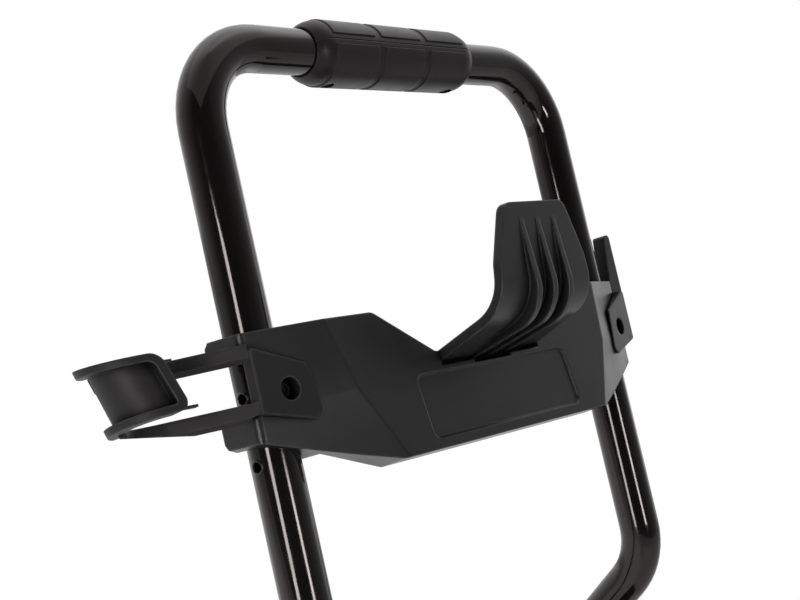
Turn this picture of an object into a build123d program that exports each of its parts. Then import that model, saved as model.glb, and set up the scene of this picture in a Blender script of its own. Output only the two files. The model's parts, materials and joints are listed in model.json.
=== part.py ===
"""Pressure washer trolley: bent tube frame, soft grip, moulded hose bracket, holders, deck and wheels.

Millimetres, +Z up, front towards -Y, origin on the floor under the middle of the trolley.
The handle leans back, so its pieces are drawn in the leaning axes: across (X), along (up the
legs, zero at the top bar's axis) and out (square to the legs, towards the front).
"""

import os
from math import atan2, cos, degrees, radians, sin, sqrt, tan

from build123d import *

os.makedirs("parts", exist_ok=True)

# Tube frame
tube_diameter = 28.0
tube_wall = 2.0
leg_spacing = 334.0
lean = 16.75
top_height = 905.0
corner_radius = 50.0
knee_drop = 363.0
knee_turn = 54.0
bend_radius = 48.0
lower_run = 170.0
base_height = 44.0
base_reach = 330.0
base_bend_radius = 48.0
joint_height = 236.0
sleeve_wall = 2.0
sleeve_up = 70.0
sleeve_down = 50.0
brace_diameter = 22.0
brace_wall = 1.8
brace_drop = 34.0

# Grip
grip_length = 152.0
grip_radius = 19.8
grip_end_radius = 15.0
grip_taper = 12.0
pad_length = 39.0
pad_pitch = 44.5
pad_rise = 0.8
pad_margin = 10.0
seam_angle = 9.0
seam_gap_angle = 0.7
grip_screw_offset = 58.0
grip_screw_seat = 17.0

# Moulded bracket: front cover
cover_wall = 3.0
cover_top = -164.5
cover_valley = -193.0
cover_bottom = -248.5
cover_bottom_drop = 6.5
cover_lip_low = -222.5
valley_half = 52.0
shoulder_half = 96.0
chin_half = 104.5
lip_half = 186.0
lip_corner_out = 12.5
lip_back = -15.7
crease_level = -206.0
crease_half = 125.5
crease_out = 33.0
crease_upper_slope = 0.25
crease_lower_slope = 0.56
face_slope = 0.125
window_top = -171.0
window_bottom = -209.8
crease_round = 6.0
lip_round = 5.0
valley_round = 5.0
shoulder_round = 9.0
lip_corner_round = 3.0
chin_round = 6.0
cover_overrun = 6.0
tray_split = 17.0
panel_width = 152.0
panel_height = 38.5
panel_along = -224.0
panel_corner = 5.5
panel_depth = 1.6
panel_draft = 30.0

# Moulded bracket: rear half with the hose hook
bracket_inset = 9.0
bracket_wall = 3.0
bracket_screw_half = 95.0
bracket_screw_alongs = (-190.0, -226.0)
boss_radius = 4.5
bracket_back = -17.5
wing_front = -5.0
wing_top = -175.0
hook_half = 49.5
hook_neck_half = 43.5
hook_top_half = 30.0
hook_thickness = 6.0
hook_rise = 19.4
hook_reach = 81.5
hook_root_along = -213.5
hook_top = -118.5
hook_bend_radius = 26.0
hook_forward = 4.0
hook_corner = 9.0
hook_waist_round = 12.0
hook_edge_round = 2.0
hook_rib_count = 3
hook_rib_pitch = 16.5
hook_rib_width = 4.0
hook_rib_height = 8.0
hook_rib_root = 17.0
hook_rib_top = -128.0

# Holders
bolt_along = -198.4
spare_hole_along = -235.3
spare_hole_diameter = 7.0
flange_out = 23.2
flange_slope = 0.17
flange_overhang = 1.0
flange_top = -173.0
flange_bottom = -208.6
flange_inner_corners = ((153.0, -186.5), (149.0, -212.5), (153.8, -217.4))
flange_corner = 3.6
flange_outer_round = 1.6
flange_bevel = 0.6
bolt_recess = 12.4
recess_floor = 1.6
spigot_diameter = 16.0
ring_bore = 38.0
ring_wall = 3.2
ring_turn = 225.0
ring_window_turn = 100.0
ring_top = -168.0
ring_bottom = -202.5
ring_lean = 17.0
ring_bottom_slope = 0.12
ring_top_corner = 9.0
ring_low_corner = 5.5
rim_height = 5.5
rim_thickness = 4.0
rim_end = 4.6
rim_start_turn = 75.0
lip_length = 9.0
lip_thickness = 1.4
lip_low_lift = 1.4
arm_length = 52.0
arm_turn = 47.0
arm_wall = 4.2
arm_root_out = 15.0
arm_bevel = 2.8
upper_arm_top = -173.0
upper_arm_bottom = -180.8
lower_arm_top = -202.0
lower_arm_bottom = -212.0
lower_arm_deep = (10.0, 34.0)
lower_arm_rise = 0.186
finger_inner = 188.6
finger_outer = 201.8
finger_tip_width = 6.4
finger_depth = 10.0
finger_top = -130.0
finger_shoulder = -166.0
finger_foot_round = 1.0
finger_tip_round = 2.9
finger_shoulder_round = 4.0

# Fasteners
bolt_diameter = 6.0
bolt_hole = 6.4
bolt_head_diameter = 10.0
bolt_head_height = 3.0
hex_socket_radius = 2.5
hex_head_height = 4.2
nut_width = 10.0
nut_height = 5.0
nut_floor = 1.0
nut_dome_taper = 25.0
screw_diameter = 3.6
screw_hole = 4.0
screw_head_diameter = 7.4
screw_head_height = 2.6
screw_head_taper = 20.0
screw_tip_gap = 2.0
screw_past_wall = 4.0
head_room = 0.6
deck_screw_diameter = 4.2
deck_screw_head = 9.0

# Deck and feet
deck_thickness = 3.0
deck_overhang = 3.0
deck_back_corner = 8.0
deck_skirt = 14.0
deck_rim_height = 12.0
deck_rim_inset = 24.0
deck_rib_depth = 18.0
deck_rib_width = 3.0
deck_rib_half = 62.5
deck_rib_gap = 3.0
deck_screw_front = 55.0
deck_screw_back = 66.0
tread_rib_count = 8
tread_rib_pitch = 24.0
tread_rib_length = 160.0
tread_rib_width = 5.0
tread_rib_height = 1.6
mount_spacing_x = 200.0
mount_spacing_y = 180.0
mount_hole = 8.5
mount_y = -50.0
foot_offset = 90.0
foot_width = 46.0
foot_front = 22.0
foot_corner = 7.0
foot_taper = 3.0
foot_recess = 9.0
foot_head_room = 1.5

# Wheels and axle
wheel_diameter = 200.0
tyre_width = 46.0
rim_radius = 79.0
hub_length = 58.0
hub_radius = 18.0
hub_gap = 14.0
axle_diameter = 12.0
axle_clearance = 0.05
axle_chamfer = 1.0
axle_overhang = 6.0
spacer_wall = 4.0
washer_thickness = 1.5
axle_cap_height = 3.0
axle_cap_wall = 3.5
bush_radius = 7.5
hub_flare = 6.0
hub_draft = 1.0
web_half = 4.0
barrel_wall = 9.0
barrel_flare = 5.0
barrel_inset = 4.0
bead_height = 5.0
bead_width = 3.0
bead_draft = 1.0
spoke_count = 6
spoke_window_width = 30.0
spoke_window_margin = 9.0
spoke_window_angle = 74.0
spoke_window_corner = 5.0
tyre_shoulder = 9.0
groove_width = 3.0
groove_depth = 2.5
notch_count = 16
notch_width = 5.0
notch_depth = 3.5
notch_length = 9.5
end_play = 0.3
cap_wall = 2.5
cap_reach = 16.5
cap_grip = 7.0
cap_round = 7.0

# Shared clearances
slip = 0.1
parting = 0.4

# Worked-out places
tube_radius = tube_diameter / 2
bore_radius = tube_radius - tube_wall
half_spacing = leg_spacing / 2
wheel_radius = wheel_diameter / 2
axle_z = wheel_radius
post_y = (base_reach + foot_front - wheel_radius) / 2
front_y = post_y - base_reach
lower_lean = knee_turn - lean
top_y = post_y + knee_drop * sin(radians(lean)) - lower_run * sin(radians(lower_lean))
knee_y = top_y - knee_drop * sin(radians(lean))
knee_z = top_height - knee_drop * cos(radians(lean))
waist_z = knee_z - lower_run * cos(radians(lower_lean))
post_top = waist_z - bend_radius * tan(radians(lower_lean / 2))
brace_height = post_top - brace_drop
along_dir = Vector(0, sin(radians(lean)), cos(radians(lean)))
out_dir = Vector(0, -cos(radians(lean)), sin(radians(lean)))
across_dir = Vector(1, 0, 0)
sides = (("left", -1), ("right", 1))


def place(across, along, out):
    """A point given in the leaning axes of the handle."""
    return Vector(across, top_y, top_height) + along_dir * along + out_dir * out


def front_plane(out=0.0):
    """Sketch axes: across, along. Extrudes outwards."""
    return Plane(origin=place(0, 0, out), x_dir=across_dir, z_dir=out_dir)


def plan_plane(along):
    """Sketch axes: across, out. Extrudes down the legs."""
    return Plane(origin=place(0, along, 0), x_dir=across_dir, z_dir=along_dir * -1)


def side_plane(across=0.0):
    """Sketch axes: out, along. Extrudes towards -X."""
    return Plane(origin=place(across, 0, 0), x_dir=out_dir, z_dir=(-1, 0, 0))


def level_plane(height):
    """Sketch axes: X, Y at a height above the floor."""
    return Plane.XY.offset(height)


def cross_plane(y, z, across=0.0):
    """Sketch axes: Y, Z. Extrudes towards +X."""
    return Plane(origin=(across, y, z), x_dir=(0, 1, 0), z_dir=(1, 0, 0))


def write(piece, node_name):
    """Give a piece its node name and write its file."""
    piece.part.label = node_name
    export_step(piece.part, f"parts/{node_name}.step")


def bent_tube(points, radii):
    """Tube along a line of straight runs, with a round bend at each corner."""
    with BuildPart() as tube:
        with BuildLine() as middle_line:
            FilletPolyline(*points, radius=radii)
        with BuildSketch(Plane(origin=middle_line.line @ 0, z_dir=middle_line.line % 0)):
            Circle(tube_radius)
            Circle(bore_radius, mode=Mode.SUBTRACT)
        sweep()
    return tube.part


# Handle frame: one bent tube, top bar, legs, knees and posts
handle_half = [
    (half_spacing, top_y, top_height),
    (half_spacing, knee_y, knee_z),
    (half_spacing, post_y, waist_z),
    (half_spacing, post_y, joint_height),
]
handle_points = [(-x, y, z) for x, y, z in reversed(handle_half)] + handle_half
handle_bends = [bend_radius, bend_radius, corner_radius]
bolt_spots = [(side * half_spacing, bolt_along) for name, side in sides]

with BuildPart() as handle_frame:
    add(bent_tube(handle_points, handle_bends + handle_bends[::-1]))
    with BuildSketch(front_plane(tube_diameter)):
        with Locations(*bolt_spots):
            Circle(bolt_hole / 2)
    extrude(amount=-2 * tube_diameter, mode=Mode.SUBTRACT)
    for name, side in sides:
        with BuildSketch(side_plane(side * half_spacing)):
            with Locations((0, bolt_along), (0, spare_hole_along)):
                Circle(spare_hole_diameter / 2)
        extrude(amount=-side * tube_diameter, mode=Mode.SUBTRACT)
    with BuildSketch(plan_plane(0)):
        with Locations((-grip_screw_offset, 0), (grip_screw_offset, 0)):
            Circle(screw_hole / 2)
    extrude(amount=tube_diameter, mode=Mode.SUBTRACT)
write(handle_frame, "handle_frame")

# Base frame: one bent tube, stubs, side runs and front bar
deck_under = base_height + tube_radius + parting / 2
deck_top = deck_under + deck_thickness
deck_back = post_y - base_bend_radius - deck_thickness
deck_half = half_spacing + tube_radius + deck_overhang
deck_front = front_y - tube_radius - deck_overhang
deck_corner = corner_radius + tube_radius + deck_overhang
deck_screw_ys = (front_y + deck_screw_front, post_y - deck_screw_back)
deck_screw_spots = [(side * half_spacing, y) for name, side in sides for y in deck_screw_ys]
foot_spots = [(side * foot_offset, front_y) for name, side in sides]
base_half = [
    (half_spacing, front_y, base_height),
    (half_spacing, post_y, base_height),
    (half_spacing, post_y, joint_height),
]
base_points = [(-x, y, z) for x, y, z in reversed(base_half)] + base_half
base_bends = [base_bend_radius, corner_radius]
joint_bolt_z = joint_height - sleeve_down / 2

with BuildPart() as base_frame:
    add(bent_tube(base_points, base_bends + base_bends[::-1]))
    with BuildSketch(cross_plane(post_y, axle_z)):
        Circle(axle_diameter / 2 + slip)
    extrude(amount=leg_spacing, both=True, mode=Mode.SUBTRACT)
    with BuildSketch(cross_plane(post_y, joint_bolt_z)):
        Circle(bolt_hole / 2)
    extrude(amount=leg_spacing, both=True, mode=Mode.SUBTRACT)
    with BuildSketch(level_plane(base_height)):
        with Locations(*deck_screw_spots):
            Circle(deck_screw_diameter / 2 + slip)
    extrude(amount=tube_diameter, mode=Mode.SUBTRACT)
    with BuildSketch(level_plane(base_height)):
        with Locations(*foot_spots):
            Circle(deck_screw_diameter / 2 + slip)
    extrude(amount=-tube_diameter, mode=Mode.SUBTRACT)
write(base_frame, "base_frame")

# Joint sleeves inside the posts, where the handle plugs on to the base
with BuildPart() as joint_sleeves:
    with BuildSketch(level_plane(joint_height - sleeve_down)):
        with Locations((-half_spacing, post_y), (half_spacing, post_y)):
            Circle(bore_radius - slip)
            Circle(bore_radius - slip - sleeve_wall, mode=Mode.SUBTRACT)
    extrude(amount=sleeve_down + sleeve_up)
    with BuildSketch(cross_plane(post_y, joint_bolt_z)):
        Circle(bolt_hole / 2)
    extrude(amount=leg_spacing, both=True, mode=Mode.SUBTRACT)
write(joint_sleeves, "joint_sleeves")

# Cross brace between the posts, its ends coped to the tubes
with BuildPart() as cross_brace:
    with BuildSketch(cross_plane(post_y, brace_height)):
        Circle(brace_diameter / 2)
        Circle(brace_diameter / 2 - brace_wall, mode=Mode.SUBTRACT)
    extrude(amount=half_spacing, both=True)
    with BuildSketch(level_plane(brace_height - brace_diameter)):
        with Locations((-half_spacing, post_y), (half_spacing, post_y)):
            Circle(tube_radius)
    extrude(amount=2 * brace_diameter, mode=Mode.SUBTRACT)
write(cross_brace, "cross_brace")


# Grip: two half shells round the top bar, with raised pads
def seam_plane(angle):
    """Holds the top bar's axis and the radius at an angle above the out direction."""
    radial = out_dir * cos(radians(angle)) + along_dir * sin(radians(angle))
    return Plane(origin=place(0, 0, 0), x_dir=across_dir, z_dir=across_dir.cross(radial))


def grip_profile():
    """Half section of the grip's wall, rounded down at both ends."""
    half = grip_length / 2
    bore = tube_radius + slip / 2
    with BuildSketch() as profile:
        with BuildLine():
            Polyline((-half, grip_end_radius), (-half, bore), (half, bore), (half, grip_end_radius))
            TangentArc((half - grip_taper, grip_radius), (half, grip_end_radius), tangent=(1, 0))
            Line((half - grip_taper, grip_radius), (grip_taper - half, grip_radius))
            TangentArc((grip_taper - half, grip_radius), (-half, grip_end_radius), tangent=(-1, 0))
        make_face()
    return profile.sketch


def pad_profile():
    """Half sections of the raised pads along the grip."""
    with BuildSketch() as profile:
        for step in (-1, 0, 1):
            start = step * pad_pitch - pad_length / 2
            end = step * pad_pitch + pad_length / 2
            with BuildLine():
                Polyline(
                    (start, grip_radius - cover_wall),
                    (end, grip_radius - cover_wall),
                    (end, grip_radius),
                    (end - pad_rise, grip_radius + pad_rise),
                    (start + pad_rise, grip_radius + pad_rise),
                    (start, grip_radius),
                    close=True,
                )
            make_face()
    return profile.sketch


grip_axis = Axis(place(0, 0, 0), across_dir * -1)
with BuildPart() as grip_upper_shell:
    with BuildSketch(seam_plane(seam_angle + seam_gap_angle)):
        add(grip_profile())
    revolve(axis=grip_axis, revolution_arc=180 - 2 * seam_gap_angle)
    with BuildSketch(seam_plane(seam_angle + pad_margin)):
        add(pad_profile())
    revolve(axis=grip_axis, revolution_arc=180 - 2 * pad_margin)
write(grip_upper_shell, "grip_upper_shell")

with BuildPart() as grip_lower_shell:
    with BuildSketch(seam_plane(seam_angle + seam_gap_angle - 180)):
        add(grip_profile())
    revolve(axis=grip_axis, revolution_arc=180 - 2 * seam_gap_angle)
    with BuildSketch(seam_plane(seam_angle + pad_margin - 180)):
        add(pad_profile())
    revolve(axis=grip_axis, revolution_arc=180 - 2 * pad_margin)
    for spot in (-grip_screw_offset, grip_screw_offset):
        with BuildSketch(plan_plane(-grip_screw_seat)):
            with Locations((spot, 0)):
                Circle(screw_head_diameter / 2 + head_room)
        extrude(amount=grip_radius, mode=Mode.SUBTRACT)
        with BuildSketch(plan_plane(0)):
            with Locations((spot, 0)):
                Circle(screw_hole / 2)
        extrude(amount=grip_radius, mode=Mode.SUBTRACT)
write(grip_lower_shell, "grip_lower_shell")

with BuildPart() as grip_screws:
    with BuildSketch(plan_plane(-grip_screw_seat)):
        with Locations((-grip_screw_offset, 0), (grip_screw_offset, 0)):
            Circle(screw_head_diameter / 2)
    extrude(amount=screw_head_height)
    with BuildSketch(plan_plane(-grip_screw_seat)):
        with Locations((-grip_screw_offset, 0), (grip_screw_offset, 0)):
            Circle(screw_diameter / 2)
    extrude(amount=-(grip_screw_seat - bore_radius + tube_wall))
write(grip_screws, "grip_screws")

# Front cover of the hose bracket: creased faces, valley, end lips, label recess
cover_level_top = cover_top + cover_overrun
cover_level_low = cover_bottom - cover_bottom_drop - cover_overrun


def face_out(along):
    """How far out the cover's flat middle face stands at a place along the legs."""
    return crease_out + face_slope * (crease_level - along)


cover_reach = face_out(cover_level_low) + cover_wall


def chin_drop(out):
    """How much lower the chin's edge hangs, growing towards the back."""
    return cover_bottom_drop * (cover_reach - out) / (cover_reach - lip_back)


def crease_at(along):
    """Half width of the flat middle face at a place along the legs."""
    if along > crease_level:
        return crease_half + crease_upper_slope * (along - crease_level)
    return crease_half - crease_lower_slope * (crease_level - along)


def cover_section(along, inset=0.0):
    """Plan of the cover: lips, slanted cheeks and flat face, run on past the back."""
    half = [
        (crease_at(along), face_out(along)),
        (lip_half, lip_corner_out),
        (lip_half, lip_back - tube_diameter),
    ]
    rounding = [crease_round, lip_round, lip_round]
    with BuildSketch() as section:
        with BuildLine():
            FilletPolyline(
                *half,
                *[(-x, out) for x, out in reversed(half)],
                radius=rounding + rounding[::-1],
                close=True,
            )
        make_face()
        if inset > 0:
            offset(amount=-inset, kind=Kind.INTERSECTION, mode=Mode.REPLACE)
    return section.sketch


def cover_outline(drop, inset=0.0):
    """Front view of the cover; the chin drops a little towards the back."""
    half = [
        (valley_half, cover_valley),
        (shoulder_half, cover_top),
        (lip_half + cover_wall, cover_top),
        (lip_half + cover_wall, cover_lip_low),
        (chin_half, cover_bottom - drop),
    ]
    rounding = [valley_round, shoulder_round, lip_corner_round, lip_corner_round, chin_round]
    with BuildSketch() as outline:
        with BuildLine():
            FilletPolyline(
                *half,
                *[(-x, along) for x, along in reversed(half)],
                radius=rounding + rounding[::-1],
                close=True,
            )
        make_face()
        if inset > 0:
            offset(amount=-inset, kind=Kind.INTERSECTION, mode=Mode.REPLACE)
    return outline.sketch


def cover_form(inset=0.0):
    """The cover's outer shape as a solid, or its hollow when set in by the wall."""
    with BuildPart() as form:
        for level in (cover_level_top, crease_level, cover_level_low):
            with BuildSketch(plan_plane(level)):
                add(cover_section(level, inset))
        loft(ruled=True)
        for out in (lip_back - inset, cover_reach):
            with BuildSketch(front_plane(out)):
                add(cover_outline(chin_drop(out), inset))
        loft(ruled=True, mode=Mode.INTERSECT)
    return form.part


bracket_screw_spots = [
    (side * bracket_screw_half, along) for name, side in sides for along in bracket_screw_alongs
]
end_half = half_spacing - tube_radius - cover_wall
window_height = window_top - window_bottom
hook_rib_span = (hook_rib_count - 1) * hook_rib_pitch + hook_rib_width


def hook_under(out, height=0.0):
    """Where the hook's sloping underside, or a rib that stands from it, is at a distance out."""
    rise = radians(hook_rise)
    middle = hook_root_along + (out - bracket_back) * tan(rise)
    return middle - (hook_thickness / 2 + height) / cos(rise)


notch_out = face_out(cover_valley) - 2 * cover_wall
notch_rib_height = hook_rib_height * (face_out(cover_valley) - hook_rib_root) / (hook_reach - hook_rib_root)
notch_bottom = hook_under(notch_out) - parting
notch_rib_bottom = hook_under(notch_out, notch_rib_height) - parting

with BuildPart() as front_cover:
    add(cover_form())
    add(cover_form(cover_wall), mode=Mode.SUBTRACT)
    # Blocks inside the ends that seat on the tubes
    with BuildSketch(front_plane(lip_back)):
        for name, side in sides:
            with Locations((side * (end_half + lip_half) / 2, (cover_top + cover_bottom) / 2)):
                Rectangle(lip_half - end_half, 2 * leg_spacing)
    seat_slab = extrude(amount=cover_reach, mode=Mode.PRIVATE)
    add(seat_slab.intersect(cover_form()))
    # Only the ends reach back past the tubes
    with BuildSketch(front_plane(tray_split)):
        Rectangle(2 * end_half, 2 * leg_spacing)
    extrude(amount=lip_back - tray_split, mode=Mode.SUBTRACT)
    for name, side in sides:
        # Channel for the tube, open at the back
        with BuildSketch(plan_plane(0)):
            with Locations((side * half_spacing, 0)):
                Circle(tube_radius + slip)
            with Locations((side * half_spacing, lip_back)):
                Rectangle(2 * (tube_radius + slip), 2 * abs(lip_back))
        extrude(amount=leg_spacing, mode=Mode.SUBTRACT)
        # Window in the end for the holder's arms, clear behind the cheek
        with BuildSketch(side_plane(side * end_half)):
            with Locations((lip_corner_out - tube_diameter, (window_top + window_bottom) / 2)):
                Rectangle(2 * tube_diameter, window_height)
        extrude(amount=-side * leg_spacing, mode=Mode.SUBTRACT)
        # Hole for the holder's spigot
        with BuildSketch(front_plane(lip_corner_out)):
            with Locations((side * half_spacing, bolt_along)):
                Circle(spigot_diameter / 2 + parting)
        extrude(amount=cover_reach, mode=Mode.SUBTRACT)
    # Screw bosses inside
    for x, along in bracket_screw_spots:
        with BuildSketch(front_plane(tray_split + parting / 2)):
            with Locations((x, along)):
                Circle(boss_radius)
        extrude(amount=face_out(along) - tray_split - cover_wall / 2)
        with BuildSketch(front_plane(tray_split)):
            with Locations((x, along)):
                Circle(screw_diameter / 2 + slip)
        extrude(amount=face_out(along) - tray_split - cover_wall, mode=Mode.SUBTRACT)
    # Notch for the hose hook and its ribs, below the valley
    with BuildSketch(front_plane(tray_split)):
        with Locations((0, cover_valley)):
            Rectangle(2 * (hook_half + parting), 2 * (cover_valley - notch_bottom))
            Rectangle(hook_rib_span + 2 * parting, 2 * (cover_valley - notch_rib_bottom))
    extrude(amount=cover_reach, mode=Mode.SUBTRACT)
    # Bare recess for a label
    panel_plane = Plane(
        origin=place(0, panel_along, face_out(panel_along)),
        x_dir=across_dir,
        z_dir=out_dir + along_dir * face_slope,
    )
    with BuildSketch(panel_plane):
        RectangleRounded(panel_width, panel_height, panel_corner)
    extrude(amount=-panel_depth, taper=panel_draft, mode=Mode.SUBTRACT)
write(front_cover, "front_cover")


# Rear half of the bracket: tray, tube wings and the ribbed hose hook
def hook_points(shift):
    """Side view of the hook's line, moved out of its middle by a shift."""
    rise = radians(hook_rise)
    bend = (hook_reach, hook_root_along + (hook_reach - bracket_back) * tan(rise))
    tip = (hook_reach + hook_forward, hook_top)
    upright = atan2(tip[1] - bend[1], tip[0] - bend[0])
    root_normal = Vector(sin(rise), -cos(rise))
    tip_normal = Vector(sin(upright), -cos(upright))
    corner = (root_normal + tip_normal) * (shift / (1 + root_normal.dot(tip_normal)))
    return [
        (bracket_back + root_normal.X * shift, hook_root_along + root_normal.Y * shift),
        (bend[0] + corner.X, bend[1] + corner.Y),
        (tip[0] + tip_normal.X * shift, tip[1] + tip_normal.Y * shift),
    ]


def hook_plate():
    """Bent plate, trimmed to an outline that narrows upwards, with rounded edges."""
    shoulder = hook_points(0)[1][1] + hook_bend_radius
    root = hook_root_along - hook_half
    half = [
        (hook_half, root),
        (hook_half, cover_valley),
        (hook_neck_half, shoulder),
        (hook_top_half, hook_top),
    ]
    rounding = [hook_edge_round, hook_corner, hook_waist_round, hook_corner]
    with BuildPart() as plate:
        with BuildSketch(side_plane()):
            with BuildLine():
                FilletPolyline(*hook_points(0), radius=hook_bend_radius)
            trace(line_width=hook_thickness)
        extrude(amount=hook_half, both=True)
        with BuildSketch(front_plane(bracket_back - hook_thickness)):
            with BuildLine():
                FilletPolyline(
                    *half,
                    *[(-x, along) for x, along in reversed(half)],
                    radius=rounding + rounding[::-1],
                    close=True,
                )
            make_face()
        extrude(amount=hook_reach - bracket_back + hook_half, mode=Mode.INTERSECT)
    return plate.part


def hook_rib():
    """Rib under the hook: highest at the bend, run out at the top and low at the root."""
    skin = hook_points(hook_thickness / 2)
    crest = hook_points(hook_thickness / 2 + hook_rib_height)[1]
    root = (hook_rib_root, hook_under(hook_rib_root))
    lean_out = (skin[2][0] - skin[1][0]) / (skin[2][1] - skin[1][1])
    top = (skin[1][0] + lean_out * (hook_rib_top - skin[1][1]), hook_rib_top)
    inside = hook_points(0)
    with BuildPart() as rib:
        with BuildSketch(side_plane()):
            with BuildLine():
                FilletPolyline(root, crest, top, radius=hook_bend_radius)
                Line(top, (inside[2][0], hook_rib_top))
                FilletPolyline((inside[2][0], hook_rib_top), inside[1], inside[0], radius=hook_bend_radius)
                Line(inside[0], root)
            make_face()
        extrude(amount=hook_rib_width / 2, both=True)
    return rib.part


tray_half = half_spacing - tube_radius - cover_wall - parting
wing_outer = half_spacing + tube_radius
boss_end = bracket_back - nut_height - nut_floor
with BuildPart() as hook_bracket:
    with BuildSketch(front_plane(bracket_back)):
        add(cover_outline(0, bracket_inset))
        with Locations((0, (cover_top + cover_bottom) / 2)):
            Rectangle(2 * tray_half, leg_spacing, mode=Mode.INTERSECT)
    extrude(amount=tray_split - parting / 2 - bracket_back)
    with BuildSketch(front_plane(bracket_back + bracket_wall)):
        add(cover_outline(0, bracket_inset + bracket_wall))
        with Locations((0, (cover_top + cover_bottom) / 2)):
            Rectangle(2 * (tray_half - bracket_wall), leg_spacing, mode=Mode.INTERSECT)
    extrude(amount=tray_split - bracket_back, mode=Mode.SUBTRACT)
    # Wings behind the tubes
    for name, side in sides:
        with BuildSketch(plan_plane(wing_top)):
            with Locations((side * (tray_half + wing_outer) / 2, (bracket_back + wing_front) / 2)):
                Rectangle(wing_outer - tray_half + bracket_wall, wing_front - bracket_back)
            with Locations((side * half_spacing, 0)):
                Circle(tube_radius + slip, mode=Mode.SUBTRACT)
        extrude(amount=wing_top - window_bottom - parting)
    # Hook with its ribs
    add(hook_plate())
    for step in range(hook_rib_count):
        across = (step - (hook_rib_count - 1) / 2) * hook_rib_pitch
        add(hook_rib().moved(Location((across, 0, 0))))
    # Bolt bosses with nut pockets
    for name, side in sides:
        with BuildSketch(front_plane(boss_end)):
            with Locations((side * half_spacing, bolt_along)):
                Circle(nut_width)
        extrude(amount=nut_height + 2 * nut_floor)
        with BuildSketch(front_plane(boss_end)):
            with Locations((side * half_spacing, bolt_along)):
                RegularPolygon(nut_width / 2 + slip, 6, major_radius=False)
        extrude(amount=nut_height, mode=Mode.SUBTRACT)
        with BuildSketch(front_plane(boss_end)):
            with Locations((side * half_spacing, bolt_along)):
                Circle(bolt_hole / 2)
        extrude(amount=tube_diameter, mode=Mode.SUBTRACT)
    # Screw posts
    for x, along in bracket_screw_spots:
        with BuildSketch(front_plane(bracket_back)):
            with Locations((x, along)):
                Circle(boss_radius)
        extrude(amount=tray_split - parting / 2 - bracket_back)
        with BuildSketch(front_plane(bracket_back)):
            with Locations((x, along)):
                Circle(screw_hole / 2)
        extrude(amount=tray_split - bracket_back, mode=Mode.SUBTRACT)
write(hook_bracket, "hook_bracket")

with BuildPart() as bracket_screws:
    for x, along in bracket_screw_spots:
        with BuildSketch(front_plane(bracket_back)):
            with Locations((x, along)):
                Circle(screw_head_diameter / 2)
        extrude(amount=-screw_head_height)
        with BuildSketch(front_plane(bracket_back)):
            with Locations((x, along)):
                Circle(screw_diameter / 2)
        extrude(amount=face_out(along) - cover_wall - screw_tip_gap - bracket_back)
write(bracket_screws, "bracket_screws")

# Holders: shared flange that seats on the cover's slanted cheek
cheek_slope = (face_out(bolt_along) - lip_corner_out) / (lip_half - crease_at(bolt_along))
cheek_stretch = sqrt(1 + cheek_slope**2)
corner_across = lip_half + flange_overhang
flange_points = [
    *flange_inner_corners,
    (corner_across, flange_bottom),
    (corner_across, flange_top),
]
flange_inner = flange_inner_corners[1][0] - parting


def cheek_out(across, lift=0.0):
    """Out position of the cheek's plane at a distance from the middle, lifted square to it."""
    return lip_corner_out + cheek_slope * (lip_half - across) + lift * cheek_stretch


def flange_face(across):
    """Out position of the flange's face, which is turned a little to the front."""
    return flange_out - flange_slope * (across - half_spacing)


def flange(side):
    """Five-sided wedge on the cheek, with a spigot that bears on the tube."""
    rounding = [flange_corner] * len(flange_inner_corners) + [flange_outer_round] * 2
    with BuildPart() as plate:
        with BuildSketch(plan_plane(flange_top)):
            with BuildLine():
                Polyline(
                    (side * flange_inner, cheek_out(flange_inner, parting)),
                    (side * corner_across, cheek_out(corner_across, parting)),
                    (side * corner_across, flange_face(corner_across)),
                    (side * flange_inner, flange_face(flange_inner)),
                    close=True,
                )
            make_face()
        extrude(amount=flange_top - cover_bottom)
        with BuildSketch(front_plane()):
            with BuildLine():
                FilletPolyline(
                    *[(side * x, along) for x, along in flange_points],
                    radius=rounding,
                    close=True,
                )
            make_face()
        extrude(amount=cover_reach, mode=Mode.INTERSECT)
        front_spot = place(side * half_spacing, bolt_along, flange_face(half_spacing))
        chamfer(plate.faces().sort_by_distance(front_spot)[0].edges(), flange_bevel)
        with BuildSketch(front_plane(tube_radius + slip)):
            with Locations((side * half_spacing, bolt_along)):
                Circle(spigot_diameter / 2)
        extrude(amount=flange_face(half_spacing + spigot_diameter / 2) - flange_bevel - tube_radius)
        with BuildSketch(front_plane(tube_radius + recess_floor)):
            with Locations((side * half_spacing, bolt_along)):
                Circle(bolt_recess / 2)
        extrude(amount=cover_reach, mode=Mode.SUBTRACT)
        with BuildSketch(front_plane()):
            with Locations((side * half_spacing, bolt_along)):
                Circle(bolt_hole / 2)
        extrude(amount=cover_reach, mode=Mode.SUBTRACT)
    return plate.part


# Gun holder on the left: two arms and an open ring that leans outwards, with raised rims
ring_radius = (ring_bore + ring_wall) / 2
ring_inner = ring_bore / 2
ring_outer = ring_inner + ring_wall
ring_middle = (ring_top + ring_bottom) / 2
ring_spread = tan(radians(ring_lean))
arm_dir = Vector(-cos(radians(arm_turn)), -sin(radians(arm_turn)))
arm_left = Vector(arm_dir.Y, -arm_dir.X)
arm_root = Vector(-corner_across, arm_root_out)
arm_space_dir = across_dir * arm_dir.X + out_dir * arm_dir.Y
ring_down = (along_dir * -1 - arm_space_dir * ring_spread).normalized()
ring_stretch = 1 / cos(radians(ring_lean))


def arm_end(along):
    """Where the arm meets the ring: the ring's axis leans in the plane of the arms."""
    return arm_root + arm_dir * (arm_length + (along - ring_middle) * ring_spread)


def ring_centre(along):
    return arm_end(along) + arm_left * ring_radius


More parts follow.
